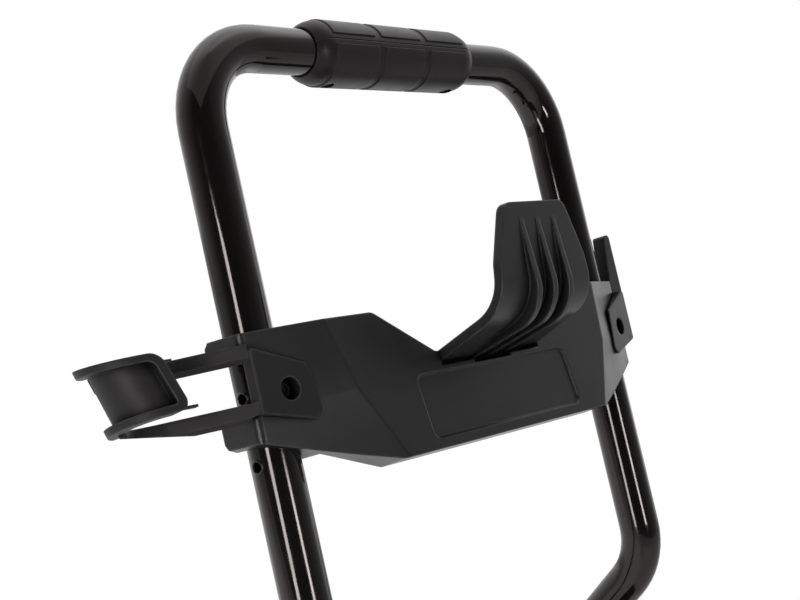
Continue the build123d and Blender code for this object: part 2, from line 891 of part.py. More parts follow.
def ring_point(radius, turn):
    """Point from the ring's centre after a turn from the end of the arms."""
    angle = atan2(-arm_left.Y, -arm_left.X) - radians(turn)
    return Vector(cos(angle), sin(angle)) * radius


def ring_sketch(inner, outer, start, end):
    """Plan of a stretch of the ring between two turns, about its centre."""
    middle = (start + end) / 2
    with BuildSketch() as stretch:
        with BuildLine():
            ThreePointArc(ring_point(inner, start), ring_point(inner, middle), ring_point(inner, end))
            Line(ring_point(inner, end), ring_point(outer, end))
            ThreePointArc(ring_point(outer, end), ring_point(outer, middle), ring_point(outer, start))
            Line(ring_point(outer, start), ring_point(inner, start))
        make_face()
    return stretch.sketch


def lip_sketch():
    """Plan of a lip: straight on from the free end of the ring."""
    ahead = ring_point(lip_length, ring_turn + 90)
    back = ring_point(rim_end, ring_turn - 90)
    inner = ring_point(ring_inner, ring_turn)
    outer = ring_point(ring_outer, ring_turn)
    with BuildSketch() as lip:
        with BuildLine():
            Polyline(inner + back, inner + ahead, outer + ahead, outer + back, close=True)
        make_face()
    return lip.sketch


def ring_plane(along):
    """Square to the legs, centred on the leaning ring."""
    centre = ring_centre(along)
    return Plane(origin=place(centre.X, along, centre.Y), x_dir=across_dir, z_dir=along_dir * -1)


free_end = ring_point(1, ring_turn)
climb_dir = (across_dir * free_end.X + out_dir * free_end.Y) * ring_bottom_slope


def low_plane(lift=0.0):
    """The ring's lower edge, which climbs towards the free end."""
    return Plane(
        origin=ring_plane(ring_bottom + lift).origin,
        x_dir=across_dir + along_dir * (free_end.X * ring_bottom_slope),
        z_dir=along_dir * -1 + climb_dir,
    )


def ring_block(inner, outer, start, end, margin=0.0):
    """Stretch of the ring over its height less a margin, corners rounded at its far end."""
    edges_of_ring = (
        (ring_plane(ring_top - margin), ring_top_corner),
        (low_plane(margin), ring_low_corner),
    )
    with BuildPart() as block:
        for plane, corner in edges_of_ring:
            with BuildSketch(plane):
                add(ring_sketch(inner, outer, start, end))
        loft(ruled=True)
        for plane, corner in edges_of_ring:
            spot = plane.from_local_coords(ring_point((inner + outer) / 2, end))
            fillet(block.edges().sort_by_distance(spot)[0], corner - margin)
    return block.part


def holder_arm(high, low):
    """Straight strip with a bevelled lower edge, run on round the back of the ring."""
    bevel_spot = arm_root + arm_dir * (arm_length / 2) + arm_left * (arm_wall / 2)
    with BuildPart() as arm:
        with BuildSketch(plan_plane(high)):
            with BuildLine():
                Line(arm_root - arm_dir * (arm_wall / 2), arm_end(high))
            trace(line_width=arm_wall)
        extrude(amount=high - low)
        chamfer(arm.edges().sort_by_distance(place(bevel_spot.X, low, bevel_spot.Y))[0], arm_bevel)
        with BuildSketch(ring_plane(high)):
            add(ring_sketch(arm_inner, arm_outer, 0, ring_window_turn))
        extrude(amount=(high - low) * ring_stretch, dir=ring_down)
    return arm.part


def lower_arm():
    """The lower arm is deepest near the flange and runs out to nothing round the ring."""
    deep_start, deep_end = lower_arm_deep
    far = 2 * arm_length
    below = lower_arm_bottom - tube_radius
    side_view = Plane(
        origin=place(arm_root.X, 0, arm_root.Y),
        x_dir=arm_space_dir,
        z_dir=arm_space_dir.cross(along_dir),
    )
    with BuildPart() as arm:
        add(holder_arm(lower_arm_top, lower_arm_bottom))
        with BuildSketch(side_view):
            with BuildLine():
                Polyline(
                    (-arm_wall, flange_bottom),
                    (0, flange_bottom),
                    (deep_start, lower_arm_bottom),
                    (deep_end, lower_arm_bottom),
                    (far, lower_arm_bottom + lower_arm_rise * (far - deep_end)),
                    (far, below),
                    (-arm_wall, below),
                    close=True,
                )
            make_face()
        extrude(amount=far, both=True, mode=Mode.SUBTRACT)
    return arm.part


rim_outer = ring_outer + rim_height
rim_inner = ring_outer - ring_wall / 2
rim_end_turn = degrees(rim_end / ring_outer)
arm_inner = ring_radius - arm_wall / 2
arm_outer = ring_radius + arm_wall / 2
wall_start = ring_window_turn - degrees(arm_wall / ring_outer) / 2

with BuildPart() as gun_holder:
    # Curved plate with a raised rim round it
    add(ring_block(ring_inner, rim_outer, wall_start, ring_turn))
    add(
        ring_block(ring_outer, 2 * rim_outer, rim_start_turn, ring_turn - rim_end_turn, rim_thickness),
        mode=Mode.SUBTRACT,
    )
    with BuildSketch(ring_plane(ring_top)):
        add(ring_sketch(rim_inner, rim_outer, rim_start_turn, ring_window_turn))
    extrude(amount=rim_thickness * ring_stretch, dir=ring_down)
    with BuildSketch(low_plane()):
        add(ring_sketch(rim_inner, rim_outer, rim_start_turn, ring_window_turn))
    extrude(amount=-rim_thickness * ring_stretch, dir=ring_down)
    # Thin lips that run straight on past the free end
    for plane in (ring_plane(ring_top - rim_thickness), low_plane(lip_low_lift + lip_thickness)):
        with BuildSketch(plane):
            add(lip_sketch())
        extrude(amount=lip_thickness)
    add(flange(-1))
    add(holder_arm(upper_arm_top, upper_arm_bottom))
    add(lower_arm())
write(gun_holder, "gun_holder")

# Cable hook on the right: the same flange and an upright finger
finger_arm_root = Vector(corner_across, arm_root.Y)
finger_arm_end = Vector((finger_inner + finger_outer) / 2, finger_depth / 2)
finger_arm_dir = (finger_arm_end - finger_arm_root).normalized()
finger_rounding = [finger_foot_round] * 2 + [finger_tip_round] * 2 + [finger_shoulder_round]

with BuildPart() as cable_hook:
    add(flange(1))
    with BuildSketch(plan_plane(upper_arm_top)):
        with BuildLine():
            Line(finger_arm_root - finger_arm_dir * (arm_wall / 2), finger_arm_end)
        trace(line_width=arm_wall)
    extrude(amount=upper_arm_top - flange_bottom)
    with BuildSketch(front_plane(0)):
        with BuildLine():
            FilletPolyline(
                (finger_inner, flange_bottom),
                (finger_outer, flange_bottom),
                (finger_outer, finger_top),
                (finger_outer - finger_tip_width, finger_top),
                (finger_inner, finger_shoulder),
                radius=finger_rounding,
                close=True,
            )
        make_face()
    extrude(amount=finger_depth)
write(cable_hook, "cable_hook")

with BuildPart() as holder_bolts:
    with BuildSketch(front_plane(tube_radius + recess_floor)):
        with Locations(*bolt_spots):
            Circle(bolt_head_diameter / 2)
            RegularPolygon(hex_socket_radius, 6, mode=Mode.SUBTRACT)
    extrude(amount=bolt_head_height)
    with BuildSketch(front_plane(tube_radius + recess_floor)):
        with Locations(*bolt_spots):
            Circle(bolt_diameter / 2)
    extrude(amount=-(tube_radius + recess_floor - boss_end))
write(holder_bolts, "holder_bolts")

with BuildPart() as holder_nuts:
    with BuildSketch(front_plane(boss_end)):
        with Locations(*bolt_spots):
            RegularPolygon(nut_width / 2, 6, major_radius=False)
            Circle(bolt_diameter / 2 + slip / 2, mode=Mode.SUBTRACT)
    extrude(amount=nut_height - slip)
write(holder_nuts, "holder_nuts")

# Bolts and domed nuts through the posts
post_outer = half_spacing + tube_radius
post_inner = half_spacing - tube_radius

with BuildPart() as frame_bolts:
    for name, side in sides:
        with BuildSketch(cross_plane(post_y, joint_bolt_z, side * (post_outer + slip))):
            RegularPolygon(nut_width / 2, 6, major_radius=False)
        extrude(amount=side * hex_head_height)
        with BuildSketch(cross_plane(post_y, joint_bolt_z, side * (post_outer + slip))):
            Circle(bolt_diameter / 2)
        extrude(amount=-side * (tube_diameter + nut_height + slip))
write(frame_bolts, "frame_bolts")

with BuildPart() as frame_nuts:
    for name, side in sides:
        with BuildSketch(cross_plane(post_y, joint_bolt_z, side * (post_inner - slip))):
            RegularPolygon(nut_width / 2, 6, major_radius=False)
        extrude(amount=-side * nut_height)
        with BuildSketch(cross_plane(post_y, joint_bolt_z, side * (post_inner - slip - nut_height))):
            Circle(nut_width / 2)
        extrude(amount=-side * nut_width / 2, taper=nut_dome_taper)
        with BuildSketch(cross_plane(post_y, joint_bolt_z, side * (post_inner - slip))):
            Circle(bolt_diameter / 2 + slip / 2)
        extrude(amount=-side * (nut_height + nut_floor), mode=Mode.SUBTRACT)
write(frame_nuts, "frame_nuts")


# Deck: moulded platform that clips over the base tubes
def deck_outline(inset=0.0):
    """Plan of the deck, rounded in front round the bends of the base."""
    with BuildSketch() as outline:
        with BuildLine():
            FilletPolyline(
                (deck_half, deck_front),
                (deck_half, deck_back),
                (-deck_half, deck_back),
                (-deck_half, deck_front),
                radius=[deck_corner, deck_back_corner, deck_back_corner, deck_corner],
                close=True,
            )
        make_face()
        if inset > 0:
            offset(amount=-inset, mode=Mode.REPLACE)
    return outline.sketch


deck_inner = half_spacing - tube_radius - deck_rib_gap
deck_ribs_front = front_y + tube_radius + deck_rib_gap
deck_ribs_back = deck_back - deck_back_corner

with BuildPart() as deck:
    with BuildSketch(level_plane(deck_under)):
        add(deck_outline())
    extrude(amount=deck_thickness)
    # Skirt outside the tubes
    with BuildSketch(level_plane(deck_under)):
        add(deck_outline())
        add(deck_outline(deck_overhang - parting), mode=Mode.SUBTRACT)
        with Locations((0, deck_back)):
            Rectangle(3 * deck_half, 2 * tube_diameter, mode=Mode.SUBTRACT)
    extrude(amount=-deck_skirt)
    # Stiffening ribs between the tubes
    rib_ys = [mount_y + mount_spacing_y / 4 * step for step in (-1, 1)]
    with BuildSketch(level_plane(deck_under)):
        for y in rib_ys:
            with Locations((0, y)):
                Rectangle(2 * deck_inner, deck_rib_width)
        for x in (-deck_rib_half, deck_rib_half):
            with Locations((x, (deck_ribs_front + deck_ribs_back) / 2)):
                Rectangle(deck_rib_width, deck_ribs_back - deck_ribs_front)
    extrude(amount=-deck_rib_depth)
    # Raised rim that locates the machine
    with BuildSketch(level_plane(deck_top)):
        add(deck_outline(deck_rim_inset))
        add(deck_outline(deck_rim_inset + deck_thickness), mode=Mode.SUBTRACT)
        with Locations((0, deck_back)):
            Rectangle(3 * deck_half, 3 * tube_diameter, mode=Mode.SUBTRACT)
        with Locations((-deck_half, deck_front), (deck_half, deck_front)):
            Rectangle(2 * deck_corner, 2 * deck_corner, mode=Mode.SUBTRACT)
    extrude(amount=deck_rim_height)
    # Grip ribs on top
    with BuildSketch(level_plane(deck_top)):
        with Locations((0, mount_y)):
            with GridLocations(0, tread_rib_pitch, 1, tread_rib_count):
                SlotOverall(tread_rib_length, tread_rib_width)
    extrude(amount=tread_rib_height)
    with BuildSketch(level_plane(deck_under)):
        with Locations((0, mount_y)):
            with GridLocations(mount_spacing_x, mount_spacing_y, 2, 2):
                Circle(mount_hole / 2)
        with Locations(*deck_screw_spots):
            Circle(deck_screw_diameter / 2 + slip)
    extrude(amount=deck_thickness, mode=Mode.SUBTRACT)
write(deck, "deck")

with BuildPart() as deck_screws:
    with BuildSketch(level_plane(deck_top)):
        with Locations(*deck_screw_spots):
            Circle(deck_screw_head / 2)
    extrude(amount=screw_head_height, taper=screw_head_taper)
    with BuildSketch(level_plane(deck_top)):
        with Locations(*deck_screw_spots):
            Circle(deck_screw_diameter / 2)
    extrude(amount=-(deck_thickness + tube_wall + screw_past_wall))
write(deck_screws, "deck_screws")

# Feet: rubber blocks under the front bar
for name, side in sides:
    with BuildPart() as foot:
        with BuildSketch(level_plane(0)):
            with Locations((side * foot_offset, front_y)):
                RectangleRounded(foot_width, 2 * foot_front, foot_corner)
        extrude(amount=base_height, taper=foot_taper)
        with BuildSketch(cross_plane(front_y, base_height)):
            Circle(tube_radius + slip)
        extrude(amount=leg_spacing, both=True, mode=Mode.SUBTRACT)
        with BuildSketch(level_plane(0)):
            with Locations((side * foot_offset, front_y)):
                Circle(deck_screw_head / 2 + foot_head_room)
        extrude(amount=foot_recess, mode=Mode.SUBTRACT)
        with BuildSketch(level_plane(0)):
            with Locations((side * foot_offset, front_y)):
                Circle(deck_screw_diameter / 2 + slip)
        extrude(amount=base_height, mode=Mode.SUBTRACT)
    write(foot, f"foot_{name}")

with BuildPart() as foot_screws:
    with BuildSketch(level_plane(foot_recess)):
        with Locations(*foot_spots):
            Circle(deck_screw_head / 2)
    extrude(amount=-screw_head_height)
    with BuildSketch(level_plane(foot_recess)):
        with Locations(*foot_spots):
            Circle(deck_screw_diameter / 2)
    extrude(amount=base_height - foot_recess - bore_radius + screw_past_wall)
write(foot_screws, "foot_screws")

# Axle and what holds the wheels on it
hub_inner = post_outer + hub_gap
hub_outer = hub_inner + hub_length
axle_radius = axle_diameter / 2
axle_half = hub_outer + washer_thickness + axle_overhang


def axle_ring(side, start, end, outer, inner):
    """A ring round the axle between two distances from the middle."""
    with BuildPart() as ring:
        with BuildSketch(cross_plane(post_y, axle_z, side * start)):
            Circle(outer)
            Circle(inner, mode=Mode.SUBTRACT)
        extrude(amount=side * (end - start))
    return ring.part


with BuildPart() as axle:
    with BuildSketch(cross_plane(post_y, axle_z)):
        Circle(axle_radius)
    extrude(amount=axle_half, both=True)
    chamfer(axle.edges().filter_by(GeomType.CIRCLE), axle_chamfer)
write(axle, "axle")

with BuildPart() as axle_spacers:
    for name, side in sides:
        start = post_outer + end_play
        add(axle_ring(side, start, hub_inner - end_play, axle_radius + spacer_wall, axle_radius + slip))
write(axle_spacers, "axle_spacers")

with BuildPart() as axle_washers:
    for name, side in sides:
        start = hub_outer + end_play
        add(axle_ring(side, start, start + washer_thickness, 2 * axle_radius, axle_radius + slip))
write(axle_washers, "axle_washers")

with BuildPart() as axle_caps:
    for name, side in sides:
        start = hub_outer + end_play + washer_thickness
        end = start + axle_cap_height
        add(axle_ring(side, start, end, axle_radius + axle_cap_wall, axle_radius + slip / 2))
write(axle_caps, "axle_caps")


# Wheels: spoked rim, bush, tyre and hub cap
wheel_axis = Axis((0, post_y, axle_z), across_dir)
wheel_middle = hub_inner + hub_length / 2
hub_half = hub_length / 2
tyre_half = tyre_width / 2
barrel_half = tyre_half - barrel_inset
barrel_inner = rim_radius - barrel_wall
bead_top = rim_radius + bead_height
bead_inner = barrel_half - bead_width
seat_half = bead_inner - bead_draft
cap_start = hub_half - cap_grip
cap_end = hub_half + cap_reach
cap_inner = hub_radius + slip / 2
cap_outer = cap_inner + cap_wall
rim_half = [
    (hub_half, bush_radius + slip / 4),
    (hub_half, hub_radius),
    (cap_start, hub_radius),
    (web_half + hub_flare, hub_radius + hub_draft),
    (web_half, hub_radius + hub_flare),
    (web_half, barrel_inner - barrel_flare),
    (barrel_half, barrel_inner),
    (barrel_half, bead_top),
    (bead_inner, bead_top),
    (seat_half, rim_radius),
]
tyre_half_section = [
    (seat_half - slip, rim_radius + slip / 2),
    (bead_inner - slip, bead_top + slip),
    (barrel_half, bead_top + slip),
    (tyre_half, bead_top + bead_draft),
    (tyre_half, wheel_radius),
]


def wheel_plane(side):
    """Sketch axes: outwards from the wheel's middle, up from the axle."""
    return Plane(origin=(side * wheel_middle, post_y, axle_z), x_dir=(side, 0, 0), z_dir=(0, -side, 0))


def mirrored(half):
    """A wheel section from the points of its outer half."""
    with BuildSketch() as section:
        with BuildLine():
            Polyline(*half, *[(-x, radius) for x, radius in reversed(half)], close=True)
        make_face()
    return section.sketch


for name, side in sides:
    with BuildPart() as wheel_rim:
        with BuildSketch(wheel_plane(side)):
            add(mirrored(rim_half))
        revolve(axis=wheel_axis)
        with BuildSketch(cross_plane(post_y, axle_z, side * wheel_middle)):
            with PolarLocations((hub_radius + barrel_inner) / 2, spoke_count):
                Trapezoid(
                    spoke_window_width,
                    barrel_inner - hub_radius - 2 * spoke_window_margin,
                    spoke_window_angle,
                    rotation=90,
                )
            fillet(vertices(), spoke_window_corner)
        extrude(amount=barrel_half, both=True, mode=Mode.SUBTRACT)
    write(wheel_rim, f"wheel_rim_{name}")

    with BuildPart() as wheel_bush:
        add(axle_ring(side, hub_inner, hub_outer, bush_radius, axle_radius + axle_clearance))
    write(wheel_bush, f"wheel_bush_{name}")

    with BuildPart() as wheel_tyre:
        with BuildSketch(wheel_plane(side)):
            add(mirrored(tyre_half_section))
            fillet(vertices().group_by(Axis.Y)[-1], tyre_shoulder)
            with Locations((-tyre_width / 8, wheel_radius), (tyre_width / 8, wheel_radius)):
                Rectangle(groove_width, 2 * groove_depth, mode=Mode.SUBTRACT)
        revolve(axis=wheel_axis)
        # Shoulder notches, staggered from side to side
        for shoulder in (-1, 1):
            with BuildSketch(cross_plane(post_y, axle_z, side * (wheel_middle + shoulder * tyre_half))):
                with PolarLocations(wheel_radius, notch_count, start_angle=shoulder * 90 / notch_count):
                    Rectangle(2 * notch_depth, notch_width)
            extrude(amount=-side * shoulder * notch_length, mode=Mode.SUBTRACT)
    write(wheel_tyre, f"wheel_tyre_{name}")

    with BuildPart() as hub_cap:
        with BuildSketch(wheel_plane(side)):
            with BuildLine():
                Polyline(
                    (cap_end, 0),
                    (cap_end, cap_outer),
                    (cap_start, cap_outer),
                    (cap_start, cap_inner),
                    (cap_end - cap_wall, cap_inner),
                    (cap_end - cap_wall, 0),
                    close=True,
                )
            make_face()
            fillet(vertices().sort_by_distance((cap_end, cap_outer))[0], cap_round)
            fillet(vertices().sort_by_distance((cap_end - cap_wall, cap_inner))[0], cap_round - cap_wall)
        revolve(axis=wheel_axis)
    write(hub_cap, f"hub_cap_{name}")
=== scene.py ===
# %% [markdown]
# # Pressure washer trolley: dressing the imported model
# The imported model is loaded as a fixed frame, in metres, +Z up, front towards -Y.
# Each step below gives its surfaces a look and adds the small things a moulded, welded
# and screwed trolley has. Nothing of the frame is moved: where a shape changes, a copy
# is changed and replaces its node.

import json
import math

import bmesh
import bpy
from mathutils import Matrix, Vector
from mathutils.bvhtree import BVHTree


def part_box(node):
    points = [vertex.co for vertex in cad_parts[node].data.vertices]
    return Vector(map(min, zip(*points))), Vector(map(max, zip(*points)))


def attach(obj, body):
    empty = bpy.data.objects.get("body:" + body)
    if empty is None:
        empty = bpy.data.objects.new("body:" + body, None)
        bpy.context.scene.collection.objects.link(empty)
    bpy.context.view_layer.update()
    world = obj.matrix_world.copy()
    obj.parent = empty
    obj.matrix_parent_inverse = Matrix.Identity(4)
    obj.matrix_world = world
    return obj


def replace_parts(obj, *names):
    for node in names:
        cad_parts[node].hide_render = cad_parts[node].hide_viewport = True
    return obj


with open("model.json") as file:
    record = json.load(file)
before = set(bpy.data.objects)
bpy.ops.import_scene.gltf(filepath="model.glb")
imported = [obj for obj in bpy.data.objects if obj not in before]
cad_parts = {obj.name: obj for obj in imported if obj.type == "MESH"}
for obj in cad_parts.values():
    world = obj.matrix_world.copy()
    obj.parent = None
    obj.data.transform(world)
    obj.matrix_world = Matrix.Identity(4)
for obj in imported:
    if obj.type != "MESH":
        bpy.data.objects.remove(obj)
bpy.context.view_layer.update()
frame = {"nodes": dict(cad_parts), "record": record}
nodes = frame["nodes"]
scene = bpy.context.scene

# %% [markdown]
# ## Camera
# The photo was taken from the front left, a little above the bracket, with a long lens.
# The edge of the photo cuts the trolley off below the knees.

# %% Camera
lens_data = bpy.data.cameras.new("photo_camera")
lens_data.lens = 63.0
lens_data.sensor_width = 36.0
camera = bpy.data.objects.new("photo_camera", lens_data)
camera.location = (-0.6909, -0.4654, 0.8498)
camera.rotation_euler = (math.radians(83.676), 0.0, math.radians(-50.081))
scene.collection.objects.link(camera)
scene.camera = camera
print("camera at", tuple(round(v, 3) for v in camera.location))

# %% [markdown]
# ## Material helpers
# Every material starts from one shader with its plain values set on its sockets. The
# helpers add grain, mottling and roughness changes in metres, tied to the object. Noise
# textures do this without pictures, so the detail stays sharp from any distance. A
# rounded normal softens every moulded edge, and where it turns away from the flat one
# there is an edge, which is where handling rubs the surface lighter; on the mouldings that
# lighter edge is also a painted highlight.


# %% Nodes and links
def new_material(name, colour, roughness, metallic=0.0):
    material = bpy.data.materials.new(name)
    material.use_nodes = True
    shader = material.node_tree.nodes["Principled BSDF"]
    shader.inputs["Base Color"].default_value = (*colour, 1.0)
    shader.inputs["Roughness"].default_value = roughness
    shader.inputs["Metallic"].default_value = metallic
    return material, shader


def link(material, output, target):
    material.node_tree.links.new(output, target)


def add_node(material, kind, **values):
    node = material.node_tree.nodes.new(kind)
    for key, value in values.items():
        if key in node.inputs:
            node.inputs[key].default_value = value
        else:
            setattr(node, key, value)
    return node


# %% Values and colours
def noise(material, scale, detail=3.0):
    """Cloudy values from zero to one, tied to the object."""
    place = add_node(material, "ShaderNodeTexCoord")
    texture = add_node(material, "ShaderNodeTexNoise", Scale=scale, Detail=detail, Roughness=0.5)
    link(material, place.outputs["Object"], texture.inputs["Vector"])
    return texture.outputs["Fac"]


def spread(material, value, low, high, start=0.3, end=0.7):
    """Maps a value between two marks on to a range. The marks suit a noise if none are given."""
    node = add_node(material, "ShaderNodeMapRange")
    node.inputs["From Min"].default_value = start
    node.inputs["From Max"].default_value = end
    node.inputs["To Min"].default_value = low
    node.inputs["To Max"].default_value = high
    link(material, value, node.inputs["Value"])
    return node.outputs["Result"]


def times(material, first, second):
    node = add_node(material, "ShaderNodeMath", operation="MULTIPLY")
    link(material, first, node.inputs[0])
    link(material, second, node.inputs[1])
    return node.outputs["Value"]


def larger(material, first, second):
    node = add_node(material, "ShaderNodeMath", operation="MAXIMUM")
    link(material, first, node.inputs[0])
    link(material, second, node.inputs[1])
    return node.outputs["Value"]


def mixed(material, share, first, second):
    """Colour between two, each a plain colour or the output of another mix."""
    node = add_node(material, "ShaderNodeMix", data_type="RGBA")
    for socket, colour in ((node.inputs[6], first), (node.inputs[7], second)):
        if isinstance(colour, tuple):
            socket.default_value = (*colour, 1.0)
        else:
            link(material, colour, socket)
    link(material, share, node.inputs[0])
    return node.outputs[2]


# %% Edges and grain
def round_normal(material, radius):
    node = add_node(material, "ShaderNodeBevel", samples=6)
    node.inputs["Radius"].default_value = radius
    return node.outputs["Normal"]


def edge_share(material, rounded, low=0.02, high=0.25):
    """Zero on flats, one on edges: how far the rounded normal leaves the surface's own."""
    plain = add_node(material, "ShaderNodeNewGeometry")
    dot = add_node(material, "ShaderNodeVectorMath", operation="DOT_PRODUCT")
    link(material, rounded, dot.inputs[0])
    link(material, plain.outputs["Normal"], dot.inputs[1])
    turn = add_node(material, "ShaderNodeMath", operation="SUBTRACT")
    turn.inputs[0].default_value = 1.0
    link(material, dot.outputs["Value"], turn.inputs[1])
    return spread(material, turn.outputs["Value"], 0.0, 1.0, low, high)


def bump(material, shader, layers, normal):
    """Stacks height layers on a normal: (value, strength, depth in metres)."""
    for value, strength, depth in layers:
        node = add_node(material, "ShaderNodeBump", Strength=strength, Distance=depth)
        link(material, value, node.inputs["Height"])
        link(material, normal, node.inputs["Normal"])
        normal = node.outputs["Normal"]
    link(material, normal, shader.inputs["Normal"])


# %% [markdown]
# ## Painted tube
# The frame is powder-coated gloss black, a coat that shows a faint orange peel. What the
# eye reads on it are mirrored lamps, so the tone is nearly black, the roughness low and
# changing slowly, and two shallow height layers bend the streaks a little. The mirrored
# light is tinted slightly warm, as in the photo. Drilled and cut edges are rubbed to grey.

# %% Painted tube
paint_dark = (0.0036, 0.0032, 0.0031)
paint_light = (0.006, 0.0054, 0.0052)
paint_rubbed = (0.16, 0.16, 0.165)
paint_edge_radius = 0.0006
rub_scale, cloud_scale, gloss_scale, fine_scale, broad_scale = 320.0, 14.0, 60.0, 260.0, 30.0
paint, paint_shader = new_material("gloss_black_paint", colour=(0.006, 0.0055, 0.0055), roughness=0.1)
paint_shader.inputs["Specular Tint"].default_value = (1.0, 0.93, 0.91, 1.0)
paint_round = round_normal(paint, paint_edge_radius)
paint_patches = spread(paint, noise(paint, rub_scale), 0.0, 0.9)
paint_edge = times(paint, edge_share(paint, paint_round), paint_patches)
paint_tone = mixed(paint, spread(paint, noise(paint, cloud_scale), 0.0, 1.0), paint_dark, paint_light)
paint_tone = mixed(paint, paint_edge, paint_tone, paint_rubbed)
link(paint, paint_tone, paint_shader.inputs["Base Color"])
paint_gloss = spread(paint, noise(paint, gloss_scale, detail=4.0), 0.06, 0.13)
link(paint, paint_gloss, paint_shader.inputs["Roughness"])
fine_peel = (noise(paint, fine_scale, detail=2.0), 0.03, 0.0004)
broad_peel = (noise(paint, broad_scale, detail=2.0), 0.045, 0.002)
bump(paint, paint_shader, [fine_peel, broad_peel], paint_round)
print("made", paint.name)

# %% [markdown]
# ## Moulded plastic and rubber
# The bracket, holders, grip, wheels and feet come out of spark-eroded moulds, which leave
# a fine even grain. One function makes all of them: mottled tone, edges lighter in patches,
# partly rubbing wear and partly a painted highlight, and painted shade in the grooves, which
# are made darker and less glossy. Ambient occlusion within nine millimetres finds the
# grooves, which is simpler than painting them by hand.


# %% Moulded plastic
groove_reach = 0.009
groove_marks = (0.35, 0.85)
# painted shade: the near-black colour and the small share of gloss that the grooves get
painted_groove_shade = (0.002, 0.002, 0.002)
shaded_groove_gloss = 0.08
wear_scale, mottle_scale, polish_scale, wave_scale = 150.0, 22.0, 45.0, 9.0


def moulded(name, dark, light, worn_and_highlit, rough, grain, edge_radius, gloss=0.25, tint=(1.0, 1.0, 1.0)):
    material, shader = new_material(name, light, rough[1])
    shader.inputs["Specular IOR Level"].default_value = gloss
    shader.inputs["Specular Tint"].default_value = (*tint, 1.0)
    rounded = round_normal(material, edge_radius)
    patches = spread(material, noise(material, wear_scale, detail=4.0), 0.1, 0.8)
    edge = times(material, edge_share(material, rounded), patches)
    occlusion = add_node(material, "ShaderNodeAmbientOcclusion", samples=8, Distance=groove_reach)
    openness = occlusion.outputs["AO"]
    mottle = spread(material, noise(material, mottle_scale, detail=4.0), 0.0, 1.0)
    tone = mixed(material, mottle, dark, light)
    # edges lighter in patches: partly rubbing wear, partly a painted highlight
    tone = mixed(material, edge, tone, worn_and_highlit)
    # painted shade: where ambient occlusion finds a groove the colour turns near black
    tone = mixed(material, spread(material, openness, 0.0, 1.0, *groove_marks), painted_groove_shade, tone)
    link(material, tone, shader.inputs["Base Color"])
    # painted shade in the reflection: the grooves keep only a fraction of the gloss
    shine = spread(material, openness, shaded_groove_gloss * gloss, gloss, *groove_marks)
    link(material, shine, shader.inputs["Specular IOR Level"])
    link(material, spread(material, noise(material, polish_scale), *rough), shader.inputs["Roughness"])
    fine_grain = (noise(material, grain, detail=2.0), 0.25, 0.00012)
    slow_wave = (noise(material, wave_scale, detail=2.0), 0.04, 0.002)
    bump(material, shader, [fine_grain, slow_wave], rounded)
    print("made", name)
    return material


# %% Bracket, lance holder and grip
# the lighter edge colour of each moulding is partly wear and partly a painted highlight
moulding = moulded(
    "charcoal_moulding",
    dark=(0.011, 0.0107, 0.0108),
    light=(0.0155, 0.0151, 0.0153),
    worn_and_highlit=(0.11, 0.108, 0.108),
    rough=(0.3, 0.37),
    grain=1900.0,
    edge_radius=0.0016,
    gloss=0.42,
)
holder_moulding = moulded(
    "holder_moulding",
    dark=(0.0085, 0.0082, 0.0083),
    light=(0.012, 0.0116, 0.0118),
    worn_and_highlit=(0.11, 0.108, 0.108),
    rough=(0.5, 0.58),
    grain=1500.0,
    edge_radius=0.002,
    gloss=0.36,
    tint=(1.0, 0.93, 0.95),
)
grip_skin = moulded(
    "soft_grip",
    dark=(0.007, 0.0063, 0.0065),
    light=(0.0105, 0.0095, 0.0098),
    worn_and_highlit=(0.1, 0.094, 0.094),
    rough=(0.34, 0.44),
    grain=1300.0,
    edge_radius=0.0008,
    gloss=0.3,
    tint=(1.0, 0.88, 0.91),
)

# %% Wheels and feet
rim_plastic = moulded(
    "rim_plastic",
    dark=(0.014, 0.014, 0.0145),
    light=(0.02, 0.02, 0.0205),
    worn_and_highlit=(0.045, 0.045, 0.045),
    rough=(0.36, 0.48),
    grain=1500.0,
    edge_radius=0.001,
)
nylon = moulded(
    "nylon_bush",
    dark=(0.55, 0.54, 0.49),
    light=(0.66, 0.65, 0.6),
    worn_and_highlit=(0.7, 0.69, 0.64),
    rough=(0.45, 0.55),
    grain=1500.0,
    edge_radius=0.0006,
)
rubber = moulded(
    "foot_rubber",
    dark=(0.011, 0.011, 0.011),
    light=(0.018, 0.018, 0.018),
    worn_and_highlit=(0.04, 0.04, 0.038),
    rough=(0.7, 0.85),
    grain=900.0,
    edge_radius=0.0015,
)
tyre = moulded(
    "tyre_rubber",
    dark=(0.012, 0.012, 0.012),
    light=(0.02, 0.02, 0.0195),
    worn_and_highlit=(0.045, 0.044, 0.042),
    rough=(0.7, 0.85),
    grain=700.0,
    edge_radius=0.001,
)

# %% [markdown]
# ## Steel
# The axle and the fixings of the lower frame are bright zinc, the small screws and the
# holder bolts black oxide. Both are cloudy rather than even, with edges rubbed brighter,
# so one function serves for the two with different tones.


# %% Steel
plate_edge_radius = 0.0004
bloom_scale, haze_scale, crystal_scale = 180.0, 90.0, 800.0


def metal(name, dark, light, worn_and_highlit, metallic, rough):
    material, shader = new_material(name, light, rough[1], metallic)
    rounded = round_normal(material, plate_edge_radius)
    bloom = spread(material, noise(material, bloom_scale, detail=4.0), 0.0, 1.0)
    tone = mixed(material, bloom, dark, light)
    tone = mixed(material, edge_share(material, rounded), tone, worn_and_highlit)
    link(material, tone, shader.inputs["Base Color"])
    haze = spread(material, noise(material, haze_scale, detail=4.0), *rough)
    link(material, haze, shader.inputs["Roughness"])
    crystals = (noise(material, crystal_scale, detail=2.0), 0.06, 0.0002)
    bump(material, shader, [crystals], rounded)
    print("made", name)
    return material


